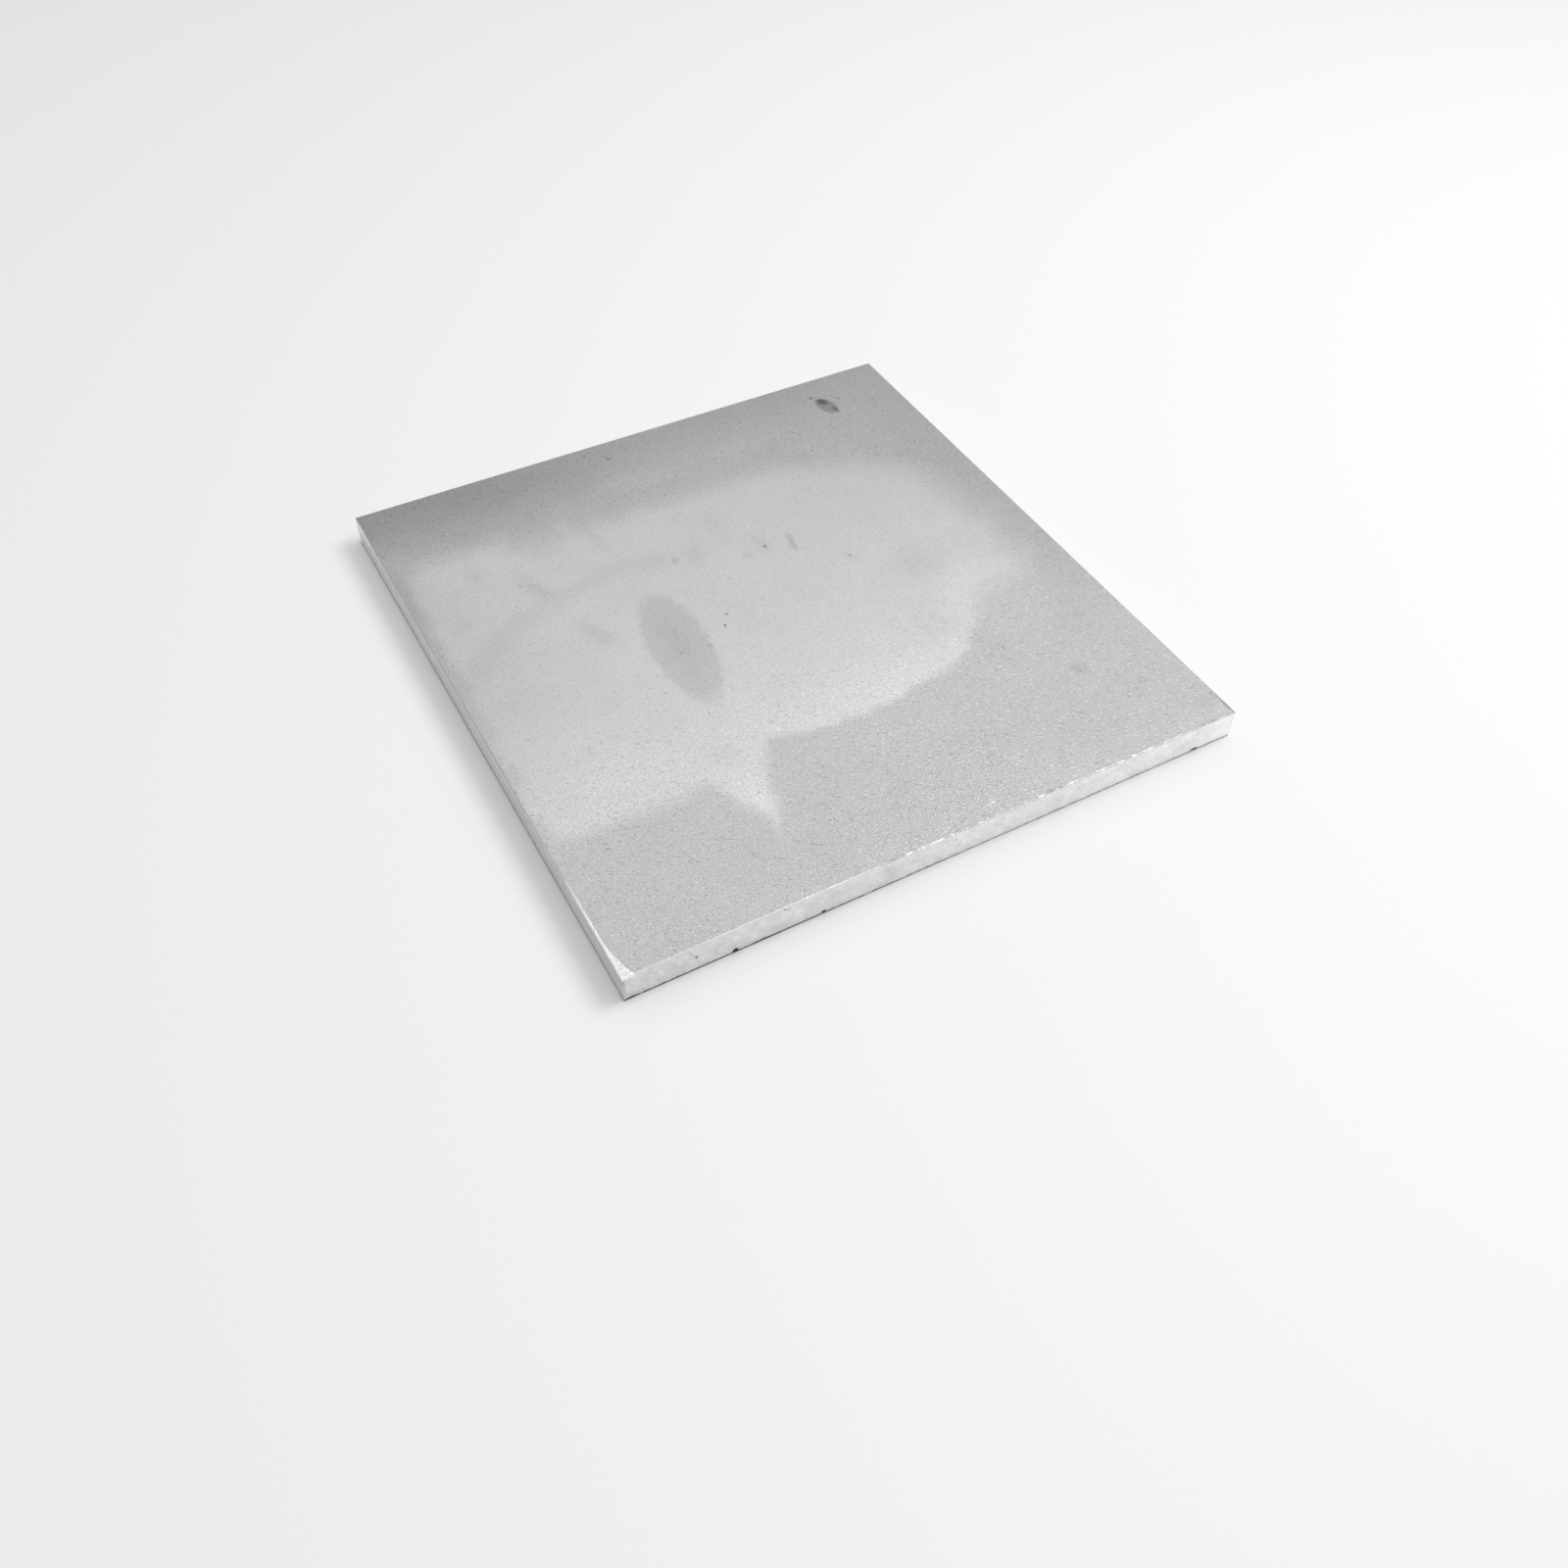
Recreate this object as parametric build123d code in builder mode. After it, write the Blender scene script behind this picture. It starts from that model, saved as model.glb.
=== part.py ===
"""Square-sawn blank of quarter-inch rolled aluminium plate, lying flat.

Millimetres. +Z is up, through the plate's gauge; +Y runs along its longer side.
The origin is on the underside, at the middle of the plate.
"""

from build123d import *
import os

# ---- Driving dimensions ---------------------------------------------------------------

plate_width = 127.0  # along X, sawn to 5 in
plate_length = 133.35  # along Y, sawn to 5 1/4 in
plate_gauge = 6.35  # along Z, rolled to 1/4 in

arris_break = 0.15  # the small flat that a file leaves where two faces meet

rub_along_front = 2.3  # the rubbed corner's reach along the front top edge
rub_along_left = 12.0  # its reach along the left top edge
rub_depth = 0.4  # how far the top is worn down at the corner itself

# ---- Where things are -----------------------------------------------------------------

left_side = -plate_width / 2
front_side = -plate_length / 2
top_face = plate_gauge


def rub_plane():
    """The shallow plane that the front left top corner is worn down to.

    It goes through three points: one on the front top edge, one on the left top edge, and
    one on the upright corner below them. Its normal points up and out of the plate.
    """
    on_front = Vector(left_side + rub_along_front, front_side, top_face)
    on_left = Vector(left_side, front_side + rub_along_left, top_face)
    on_corner = Vector(left_side, front_side, top_face - rub_depth)
    along = on_left - on_front
    down = on_corner - on_front
    return Plane(origin=on_front, x_dir=along, z_dir=along.cross(down))


# ---- The plate ------------------------------------------------------------------------

with BuildPart() as plate:
    # The outline that the saw cuts from the rolled sheet, taken up through its gauge.
    with BuildSketch(Plane.XY):
        Rectangle(plate_width, plate_length)
    extrude(amount=plate_gauge)

    # Every arris is broken by a pass of the file, so that no edge is sharp.
    chamfer(plate.edges(), length=arris_break)

    # The front left corner has been rubbed lower than the rest of the top.
    split(bisect_by=rub_plane(), keep=Keep.BOTTOM)

plate.part.label = "plate"

# ---- Write the one node ---------------------------------------------------------------

os.makedirs("parts", exist_ok=True)
export_step(plate.part, "parts/plate.step")

print(f"plate: {plate.part.volume / 1000:.2f} cm3, {len(plate.faces())} faces")
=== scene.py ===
# %% [markdown]
# # A sawn blank of rolled aluminium plate
#
# The real thing is one piece of bare metal. Rolling gives its two broad faces a satin skin
# with a fine pebble grain. A saw gives its four narrow sides slanting marks, and raises a
# ragged burr where its teeth leave the metal. Years on a bench add dried water marks, a
# thumb-sized smudge, a few specks of dirt and one corner rubbed down to bright metal.
#
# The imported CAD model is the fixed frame: a plain slab with broken edges. This script lays
# one closed skin over it that holds the fine relief, gives that skin its finishes, and
# lights it on a pale bench.

# %% Load the frame
import math
from types import SimpleNamespace

import bpy
import numpy as np
from mathutils import Matrix, Vector


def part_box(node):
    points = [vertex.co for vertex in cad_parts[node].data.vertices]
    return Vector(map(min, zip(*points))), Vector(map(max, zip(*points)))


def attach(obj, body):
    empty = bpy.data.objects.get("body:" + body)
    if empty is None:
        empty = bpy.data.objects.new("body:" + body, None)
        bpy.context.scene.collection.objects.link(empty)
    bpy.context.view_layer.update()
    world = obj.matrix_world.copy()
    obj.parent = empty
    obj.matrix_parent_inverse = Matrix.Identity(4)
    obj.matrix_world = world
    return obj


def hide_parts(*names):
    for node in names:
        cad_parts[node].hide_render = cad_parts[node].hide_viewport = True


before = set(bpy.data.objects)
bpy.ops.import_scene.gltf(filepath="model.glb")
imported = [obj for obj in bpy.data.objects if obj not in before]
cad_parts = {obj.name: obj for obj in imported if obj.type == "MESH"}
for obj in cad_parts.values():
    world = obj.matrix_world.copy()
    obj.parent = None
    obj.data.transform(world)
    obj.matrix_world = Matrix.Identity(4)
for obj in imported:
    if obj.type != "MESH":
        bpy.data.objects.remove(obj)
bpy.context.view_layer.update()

# %% [markdown]
# ## Sizes
#
# A maker thinks of this plate in millimetres, and so does this script. The three overall
# sizes come from the frame, so the skin always fits the CAD part. Only the last step turns
# millimetres into Blender's metres.

# %% Sizes from the frame, in millimetres
MM = 0.001
low, high = (np.array(corner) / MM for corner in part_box("plate"))
width, length, gauge = high - low
half_width = width / 2
half_length = length / 2
arris = 0.15  # the broken edge, as the CAD part has it
print(f"plate {width:.2f} x {length:.2f} x {gauge:.2f} mm")

# %% [markdown]
# ## Random waves
#
# Nothing on rolled and sawn metal is quite flat or quite regular. Every uneven thing below
# (a wavy skin, a ragged burr, a drifting saw mark) needs the same ingredient: a smooth bumpy
# field with a known distance from crest to crest. A sum of cosines with random headings and
# phases gives one. It works on whole arrays at once, and a seed makes it the same each run.

# %% A smooth random field
def random_waves(x, y, pitch, seed, count=24):
    """Adds `count` cosines, each with a random heading and phase and a crest about every
    `pitch` mm, and scales the sum so that its usual height is 1."""
    draw = np.random.default_rng(seed)
    headings = draw.uniform(0, 2 * np.pi, count)
    phases = draw.uniform(0, 2 * np.pi, count)
    pitches = pitch * draw.uniform(0.7, 1.5, count)
    total = np.zeros(np.broadcast(x, y).shape)
    for heading, phase, one_pitch in zip(headings, phases, pitches):
        along = x * np.cos(heading) + y * np.sin(heading)
        total += np.cos(2 * np.pi * along / one_pitch + phase)
    return total * np.sqrt(2 / count)


def waves_along(place, pitch, seed):
    """The same along a line, for what changes only with the distance along an edge."""
    return random_waves(place, 0 * place, pitch, seed)


def ease(value, start, end):
    """Rises smoothly from 0 at `start` to 1 at `end`, flat at both: t * t * (3 - 2 * t)."""
    t = np.clip((value - start) / (end - start), 0, 1)
    return t * t * (3 - 2 * t)


# %% [markdown]
# ## The rolled skin and the rubbed corner
#
# A rolled face is flat to the eye, but its reflections swim a little, because the rolls
# leave it a hundredth of a millimetre or two high and low. The front left corner has lost
# about 0.3 mm: something has rubbed it along the left edge, so the worn patch is long on
# that side and short on the front. Its edge on the top face is a hollow curve.

# %% Relief of the top face
swim_height = 0.012
swim_pitch = 34
ripple_pitch = 9
rub_reach_front = 2.25
rub_reach_left = 20.0
rub_depth = 0.32
rub_hollow = 3.4  # the power that bends the patch's edge
rub_wobble = 0.05


def rub_measure(x, y):
    """1 at the rubbed corner, falling to 0 at the edge of the worn patch and below 0 beyond
    it. It is a power of the distance left along the left edge, less the share of the front
    reach used up, so its zero line is a hollow curve between the two reaches."""
    from_left = x + half_width
    from_front = y + half_length
    left_over = np.clip(1 - from_front / rub_reach_left, 0, None)
    return left_over ** rub_hollow - from_left / rub_reach_front


def top_relief(x, y):
    """How far the top face stands above (or below) its gauge, in mm."""
    swim = swim_height * random_waves(x, y, swim_pitch, seed=3)
    swim += 0.3 * swim_height * random_waves(x, y, ripple_pitch, seed=4)
    wobble = rub_wobble * random_waves(x, y, 1.3, seed=5)
    rub = rub_measure(x, y)
    worn = np.where(rub > 0, np.clip(rub + wobble * ease(rub, 0, 0.2), 0, 1), 0)
    rim = ease(np.minimum(half_width - abs(x), half_length - abs(y)), 0.2, 3)
    return swim * rim - rub_depth * worn


# %% [markdown]
# ## Saw marks
#
# A round blade leaves arcs of its own radius. As the plate is fed past it, each arc is the
# last one moved along by the feed, so the marks on a side are one curve repeated: a point
# belongs to the arc whose start is its own distance along the side, less the arc's reach at
# its height. Every tooth cuts a little differently and the blade wanders, so the ridges come
# in a fine set and a coarse set, and both fade in and out along the cut.

# %% Saw marks on a sawn side
blade_radius = 125.0
blade_centre_height = 84.0
tooth_pitch = 0.95
wander_pitch = 3.4
kerf_depth = 0.022
drift_reach = 0.35
drift_pitch = 11


def kerf_place(along, height):
    """The place along the side where the arc through (along, height) would meet the height
    of the blade's centre: a circle of the blade's radius, solved for its start."""
    rise = height - blade_centre_height
    return along + np.sqrt(blade_radius ** 2 - rise ** 2)


def kerf_relief(along, height, seed):
    """How far the sawn side stands in from its nominal face, in mm: never less than 0."""
    place = kerf_place(along, height)
    drift = drift_reach * waves_along(place, drift_pitch, seed)
    fine = np.cos(2 * np.pi * (place + drift) / tooth_pitch)
    coarse = np.cos(2 * np.pi * (place + 3 * drift) / wander_pitch)
    patch = ease(random_waves(along, height, 9, seed + 1), -1.2, 1.2)
    depth = 0.35 * fine * patch + 0.65 * coarse * (1 - 0.5 * patch)
    return kerf_depth * (1 + depth)


# %% [markdown]
# ## The path round the plate, and the profile it carries
#
# The edge of the plate is where the eye looks for proof that it is real, so that is where
# the mesh is fine. Rings run round the plate, each with the same number of points. A row of
# the profile says how far in from the side and how high its ring lies. Going down the rows,
# the rings cross the border of the top, round the arris, go down the side, round the lower
# arris and come in under the plate.

# %% Rings and rows
fine_across = 400  # steps along the front and back sides
fine_along = 416  # steps along the left and right sides


def square_path(steps_x, steps_y):
    """Walks the border of the square from -1 to 1, anticlockwise from its front left corner.
    Returns u and v of each point. Each side is evenly divided and leaves out its last point."""
    tx = np.arange(steps_x) / steps_x * 2 - 1
    ty = np.arange(steps_y) / steps_y * 2 - 1
    u = np.concatenate([tx, np.ones(steps_y), -tx, -np.ones(steps_y)])
    v = np.concatenate([-np.ones(steps_x), ty, np.ones(steps_x), -ty])
    return u, v


def quarter_turn(radius, steps):
    """Points on a quarter circle from the flat face round to the side. Returns how far in
    each is from the side and how far from the flat face."""
    angle = np.linspace(0, np.pi / 2, steps + 1)
    return radius * (1 - np.sin(angle)), radius * (1 - np.cos(angle))


border_in = np.array([2.4, 1.75, 1.2, 0.8, 0.5, 0.3])
turn_in, turn_off = quarter_turn(arris, 3)
foot_arris = 0.4 * arris
foot_in, foot_off = quarter_turn(foot_arris, 3)
side_rows = 14
side_heights = np.linspace(gauge - arris, foot_arris, side_rows + 1)
under_in = np.array([0.35, 0.9])

row_in = np.concatenate([border_in, turn_in, np.zeros(side_rows - 1), foot_in[::-1], under_in])
row_height = np.concatenate([
    np.full(len(border_in), gauge),
    gauge - turn_off,
    side_heights[1:-1],
    foot_off[::-1],
    np.zeros(len(under_in)),
])
first_side_row = len(border_in) + len(turn_in) - 1
last_side_row = first_side_row + side_rows
print(f"{len(row_in)} rows; the side runs from row {first_side_row} to {last_side_row}")

# %% [markdown]
# ## The burr
#
# The saw comes out of the top face and drags a lip of metal with it. Most of the lip broke
# off, and what is left stands a few hundredths of a millimetre high in short runs. Where it
# tore away, the arris is a little wider. So the burr is two random fields along the edge:
# one lifts the arris, the other moves its inner line.

# %% Burr and ragged arris
burr_height = 0.07
ragged_width = 0.11
ragged_reach = 0.8  # how far in from the side the raggedness is felt
corner_calm = 0.8  # how far from an upright corner the relief dies out


def burr_lift(along, seed):
    """Height of the burr in mm at a distance along a side: random waves cut off below a
    level, so that it comes in separate short runs."""
    runs = ease(waves_along(along, 14, seed), 0.1, 1.3)
    teeth = ease(waves_along(along, 0.9, seed + 1), 0.0, 0.8)
    return burr_height * runs * teeth


def ragged_step(along, seed):
    """How far the arris's inner line moves inwards in mm, never outwards past the side."""
    coarse = waves_along(along, 4.5, seed)
    fine = waves_along(along, 1.1, seed + 1)
    return ragged_width * ease(0.6 * coarse + 0.6 * fine, -0.6, 2.2)


# %% Points of all rings
ring_u, ring_v = square_path(fine_across, fine_along)
ring_count = len(ring_u)
side_of = np.repeat(np.arange(4), [fine_across, fine_along] * 2)
side_length = np.array([width, length, width, length])
side_steps = np.array([fine_across, fine_along] * 2)
side_start = np.concatenate([[0], np.cumsum(side_steps)[:-1]])
step_in_side = np.arange(ring_count) - side_start[side_of]
along_side = step_in_side / side_steps[side_of] * side_length[side_of]

# Relief dies out at the four upright corners, where two sides share one point.
to_corner = np.minimum(along_side, side_length[side_of] - along_side)
away_from_corner = ease(to_corner, 0, corner_calm)

# The random fields are read at places so far apart that no side repeats another.
far_apart = 1000.0
path_place = along_side + far_apart * side_of


def ring_points():
    """Every ring's points as an array of rows by points by 3. A ring's nominal place is the
    square path shrunk by its row's inset, and relief is then added row by row: the ragged
    step and the burr near the top arris, the saw marks down the side."""
    inset = row_in[:, None] * np.ones(ring_count)
    height = row_height[:, None] * np.ones(ring_count)

    # The ragged step is widest where the arris meets the top, and gone at the side.
    near_top = np.interp(row_in, [0, arris, ragged_reach], [0, 1, 0])
    on_top = (row_height > gauge / 2)[:, None]
    step = ragged_step(path_place, seed=21) * away_from_corner
    inset += np.where(on_top, near_top[:, None] * step, 0)

    kerf = kerf_relief(path_place, height, seed=31) * away_from_corner
    side_share = np.interp(row_in, [0, arris], [1, 0])[:, None]
    inset += kerf * side_share

    x = ring_u * (half_width - inset)
    y = ring_v * (half_length - inset)

    # The burr stands on the arris's second row and thins out on the rows beside it.
    crest = np.exp(-((row_in - 0.6 * arris) / (0.8 * arris)) ** 2)[:, None]
    lift = burr_lift(path_place, seed=41) * away_from_corner * crest * on_top
    share_of_height = height / gauge
    z = height + lift + top_relief(x, y) * share_of_height
    return np.stack([x, y, z], axis=-1)


rings = ring_points()
print("rings:", rings.shape, "highest", round(rings[..., 2].max(), 3), "mm")

# %% [markdown]
# ## Closing the skin
#
# The broad faces don't need the edge's fine steps. Where a ring meets a coarser one, three
# triangles fill each coarse step: the coarse ring has half as many points, and each of them
# lies beside every second point of the fine ring. Three such halvings under the plate and
# one on top keep the count low. A plain grid fills what is left. Its border is the last ring
# of all, so the skin has no seam.

# %% Faces between rings and in grids
def strip_faces(ring, next_ring):
    """Quads between two rings of equally many points, the second one row further down the
    profile. They face outwards: up on top, sideways on the sides and down underneath."""
    return np.stack([ring, next_ring, np.roll(next_ring, -1), np.roll(ring, -1)], axis=1)


def halving_faces(fine, coarse):
    """Three triangles for each step of the coarse ring, which lies inside the fine one. They
    face up when both rings run anticlockwise."""
    start = fine[0::2]
    middle = fine[1::2]
    end = np.roll(start, -1)
    next_coarse = np.roll(coarse, -1)
    return np.concatenate([
        np.stack([coarse, start, middle], axis=1),
        np.stack([coarse, middle, next_coarse], axis=1),
        np.stack([next_coarse, middle, end], axis=1),
    ])


def grid_numbers(cells_x, cells_y):
    """Point numbers of a grid, row by row, and its border as a ring that runs the same way as
    square_path: front, right, back, left."""
    number = np.arange((cells_x + 1) * (cells_y + 1)).reshape(cells_y + 1, cells_x + 1)
    border = np.concatenate([number[0, :-1], number[:-1, -1], number[-1, :0:-1], number[:0:-1, 0]])
    return number, border


def grid_faces(number):
    """Quads of a grid, facing up."""
    return np.stack([number[:-1, :-1], number[:-1, 1:], number[1:, 1:], number[1:, :-1]],
                    axis=-1).reshape(-1, 4)


def grid_points(cells_x, cells_y, inset, height):
    """Evenly spaced points of a flat grid whose border is `inset` mm in from the sides."""
    x = np.linspace(-1, 1, cells_x + 1) * (half_width - inset)
    y = np.linspace(-1, 1, cells_y + 1) * (half_length - inset)
    gx, gy = np.meshgrid(x, y)
    return np.stack([gx, gy, np.full_like(gx, height)], axis=-1).reshape(-1, 3)


def flat_ring(steps_x, steps_y, inset, height):
    """One more ring on a flat face, with its own number of steps."""
    u, v = square_path(steps_x, steps_y)
    return np.stack([u * (half_width - inset), v * (half_length - inset),
                     np.full(len(u), float(height))], axis=-1)


# %% Put the skin together
points = []
part_number = {"top": 0, "side": 1, "under": 2}
quads = {part: [] for part in part_number}
triangles = {part: [] for part in part_number}


def add_points(new):
    """Keeps the points and returns their numbers."""
    start = sum(len(p) for p in points)
    points.append(new)
    return start + np.arange(len(new))


ring_numbers = [add_points(ring) for ring in rings]
for row in range(len(ring_numbers) - 1):
    part = "top" if row < first_side_row else "side" if row < last_side_row else "under"
    quads[part].append(strip_faces(ring_numbers[row], ring_numbers[row + 1]))

# Top: one halving, then the grid.
top_cells = (fine_across // 2, fine_along // 2)
top_inset = 3.1
top_points = grid_points(*top_cells, top_inset, gauge)
top_points[:, 2] += top_relief(top_points[:, 0], top_points[:, 1])
number, border = grid_numbers(*top_cells)
offset = add_points(top_points)[0]
quads["top"].append(grid_faces(number + offset))
triangles["top"].append(halving_faces(ring_numbers[0], border + offset))

# Underside: two rings, each with half the points of the last, then a coarse grid. Its faces
# are turned to look down.
under_insets = {2: 1.8, 4: 3.4}  # how many times fewer points, and how far in
under_grid_inset = 6.5
below = ring_numbers[-1]
for halving, inset in under_insets.items():
    finer = below
    below = add_points(flat_ring(fine_across // halving, fine_along // halving, inset, 0))
    triangles["under"].append(halving_faces(finer, below)[:, ::-1])
under_cells = (fine_across // 8, fine_along // 8)
number, border = grid_numbers(*under_cells)
offset = add_points(grid_points(*under_cells, under_grid_inset, 0))[0]
triangles["under"].append(halving_faces(below, border + offset)[:, ::-1])
quads["under"].append(grid_faces(number + offset)[:, ::-1])


def gather(faces):
    """All faces as one array, and the number of the part that each belongs to."""
    part_of = [np.full(sum(map(len, faces[part])), number) for part, number in part_number.items()]
    return np.concatenate(sum(faces.values(), [])), np.concatenate(part_of)


all_points = np.concatenate(points)
all_quads, quad_part = gather(quads)
all_triangles, triangle_part = gather(triangles)
print(f"{len(all_points)} points, {2 * len(all_quads) + len(all_triangles)} triangles")

# %% [markdown]
# ## One mesh, with its own unwrapping
#
# Numbers go into a mesh fastest as flat arrays. The faces here are of two kinds, so the
# corner list is the quads' corners followed by the triangles'. The unwrapping is worked out
# rather than left to a tool: the top is a plain plan view and takes most of the map, the
# four sides are strips beside it, and the underside, which nobody reads closely, is small.

# %% Unwrapping
gap = 0.006  # between the pieces of the map, whose own side is 1
strips_share = 0.124  # of the map, kept free for the strips of the sides
uv_scale = (1 - 3 * gap - strips_share) / length  # map units to a millimetre
under_scale = uv_scale * 0.15
strip_slack = 0.2  # room for the burr


def plan_uv(xyz, scale, corner):
    """Looks straight down: x and y times a scale, from a corner of the map."""
    return (xyz[..., :2] + [half_width, half_length]) * scale + corner


strip_height = (gauge + strip_slack) * uv_scale
column = 2 * gap + width * uv_scale
shelf = 2 * gap + length * uv_scale
strip_corners = np.array([
    [gap, shelf],
    [column, gap],
    [gap, shelf + strip_height + gap],
    [column + strip_height + gap, gap],
])

corner_uv = np.zeros((len(all_quads), 4, 2))
on_top, on_side, on_under = (quad_part == number for number in part_number.values())
corner_uv[on_top] = plan_uv(all_points[all_quads[on_top]], uv_scale, gap)
under_corner = [column, shelf]
corner_uv[on_under] = plan_uv(all_points[all_quads[on_under]], under_scale, under_corner)

# A side's quads were made row by row, so their distances along it repeat for each row.
start_along = np.tile(along_side, side_rows)
end_along = np.tile(along_side + side_length[side_of] / side_steps[side_of], side_rows)
drop = gauge - all_points[all_quads[on_side], 2]
strip_along = np.stack([start_along, start_along, end_along, end_along], axis=1) * uv_scale
strip_across = drop * uv_scale
which = np.tile(side_of, side_rows)
upright = (which % 2 == 1)[:, None]
corner_uv[on_side, :, 0] = np.where(upright, strip_across, strip_along)
corner_uv[on_side, :, 1] = np.where(upright, strip_along, strip_across)
corner_uv[on_side] += strip_corners[which][:, None, :]

triangle_points = all_points[all_triangles]
triangle_uv = np.where((triangle_part == part_number["top"])[:, None, None],
                       plan_uv(triangle_points, uv_scale, gap),
                       plan_uv(triangle_points, under_scale, under_corner))
uv = np.concatenate([corner_uv.reshape(-1, 2), triangle_uv.reshape(-1, 2)])
print("unwrapping spans", uv.min(axis=0).round(3), uv.max(axis=0).round(3))

# %% The mesh
mesh = bpy.data.meshes.new("plate_skin")
corners = np.concatenate([all_quads.ravel(), all_triangles.ravel()]).astype(np.int32)
sizes = np.concatenate([np.full(len(all_quads), 4), np.full(len(all_triangles), 3)])
starts = np.concatenate([[0], np.cumsum(sizes)[:-1]]).astype(np.int32)
mesh.vertices.add(len(all_points))
mesh.vertices.foreach_set("co", (all_points * MM).astype(np.float32).ravel())
mesh.loops.add(len(corners))
mesh.loops.foreach_set("vertex_index", corners)
mesh.polygons.add(len(sizes))
mesh.polygons.foreach_set("loop_start", starts)
mesh.polygons.foreach_set("use_smooth", np.ones(len(sizes), dtype=bool))
mesh.update(calc_edges=True)
mesh.validate()
layer = mesh.uv_layers.new(name="OFBake")
layer.uv.foreach_set("vector", uv.astype(np.float32).ravel())
skin = bpy.data.objects.new("plate_skin", mesh)
bpy.context.scene.collection.objects.link(skin)

# %% Is the skin closed, and does it face outwards?
def walked_edges(faces):
    """Every edge of the faces as two point numbers, in the order its face walks it."""
    return np.stack([faces, np.roll(faces, -1, axis=1)], axis=-1).reshape(-1, 2)


def enclosed_volume():
    """Volume inside the skin in mm3: the pyramids from the middle to each triangle, added up.
    It comes out positive only when the faces look outwards."""
    split = np.concatenate([all_quads[:, [0, 1, 2]], all_quads[:, [0, 2, 3]], all_triangles])
    a, b, c = (all_points[split[:, n]] for n in range(3))
    return (a * np.cross(b, c)).sum() / 6


walked = np.concatenate([walked_edges(all_quads), walked_edges(all_triangles)]).astype(np.int64)
there = np.sort(walked[:, 0] * len(all_points) + walked[:, 1])
back = np.sort(walked[:, 1] * len(all_points) + walked[:, 0])
closed = len(np.unique(there)) == len(there) and np.array_equal(there, back)
print("closed:", closed, " volume", round(enclosed_volume() / 1000, 2), "cm3")

# %% [markdown]
# ## Shader sums written as Python
#
# A finish is arithmetic on places: how far in from an edge, how near a stain, how much grain.
# Wiring that by hand hides it. The class below wraps a node's output, so that `1 - mask` or
# `grain * 0.3 + film` adds its Math nodes itself. One method of the tree adds any other node.

# %% A socket that can be reckoned with
class Value:
    """One number at each point of a surface, as the output socket of a node."""

    def __init__(self, tree, socket):
        self.tree = tree
        self.socket = socket

    def maths(self, operation, *others):
        """Adds a Math node that takes this value first."""
        inputs = {number: other for number, other in enumerate((self, *others))}
        return self.tree.node("ShaderNodeMath", {"operation": operation}, inputs)

    def __add__(self, other):
        return self.maths("ADD", other)

    def __mul__(self, other):
        return self.maths("MULTIPLY", other)

    def __sub__(self, other):
        return self.maths("SUBTRACT", other)

    def __truediv__(self, other):
        return self.maths("DIVIDE", other)

    def __rsub__(self, other):
        return self.tree.node("ShaderNodeMath", {"operation": "SUBTRACT"}, {0: other, 1: self})

    __radd__ = __add__
    __rmul__ = __mul__

    def __abs__(self):
        return self.maths("ABSOLUTE")

    def power(self, exponent):
        return self.maths("POWER", exponent)

    def lesser(self, other):
        return self.maths("MINIMUM", other)

    def greater(self, other):
        return self.maths("MAXIMUM", other)

    def rise(self, start, end):
        """0 below start, 1 above end, smooth between them. start may be above end."""
        settings = {"interpolation_type": "SMOOTHSTEP"}
        inputs = {"Value": self, "From Min": start, "From Max": end}
        if start > end:
            inputs.update({"From Min": end, "From Max": start, "To Min": 1.0, "To Max": 0.0})
        return self.tree.node("ShaderNodeMapRange", settings, inputs)


class Tree:
    """The nodes of a material or world, with one method that adds a node of any type."""

    def __init__(self, owner):
        owner.use_nodes = True
        self.wires = owner.node_tree.links
        self.nodes = owner.node_tree.nodes
        self.nodes.clear()

    def node(self, kind, settings=None, inputs=None, output=0):
        """Adds a node. Settings such as a Math node's operation are set first, then each
        input takes a number or the link of another value. Returns the chosen output."""
        made = self.nodes.new(kind)
        for name, setting in (settings or {}).items():
            setattr(made, name, setting)
        for name, given in (inputs or {}).items():
            if isinstance(given, Value):
                self.wires.new(given.socket, made.inputs[name])
            else:
                made.inputs[name].default_value = given
        return Value(self, made.outputs[output]) if made.outputs else None


print("shader sums ready")

# %% [markdown]
# ## Where a point is
#
# Object coordinates are the plate's own frame in metres. One Vector Math node turns them into
# millimetres, and every mark below is placed in those, from the middle of the plate.

# %% Places, spots and grain
EVERYWHERE = 1000.0  # a reach that takes in the whole plate


def axes_of(tree, place):
    """The x, y and z of a place, as three values."""
    return [tree.node("ShaderNodeSeparateXYZ", inputs={0: place}, output=n) for n in range(3)]


def place_in_mm(tree):
    """The point's place in millimetres in the plate's frame, and its x, y and z."""
    place = tree.node("ShaderNodeTexCoord", output="Object")
    place = tree.node("ShaderNodeVectorMath", {"operation": "SCALE"}, {0: place, "Scale": 1 / MM})
    return place, *axes_of(tree, place)


def noise(tree, place, crest, detail=2.0, roughness=0.5, output="Fac"):
    """Soft random blobs about `crest` mm across, between 0 and 1."""
    inputs = {"Vector": place, "Scale": 1 / crest, "Detail": detail, "Roughness": roughness}
    return tree.node("ShaderNodeTexNoise", inputs=inputs, output=output)


def torn(tree, place, crest, reach):
    """The place moved about at random by up to about `reach` mm, so that what is drawn on it
    has an uneven edge."""
    push = noise(tree, place, crest, detail=3.0, output="Color")
    push = tree.node("ShaderNodeVectorMath", {"operation": "SUBTRACT"}, {0: push, 1: (0.5,) * 3})
    push = tree.node("ShaderNodeVectorMath", {"operation": "SCALE"}, {0: push, "Scale": 4 * reach})
    return tree.node("ShaderNodeVectorMath", {"operation": "ADD"}, {0: place, 1: push})


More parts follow.
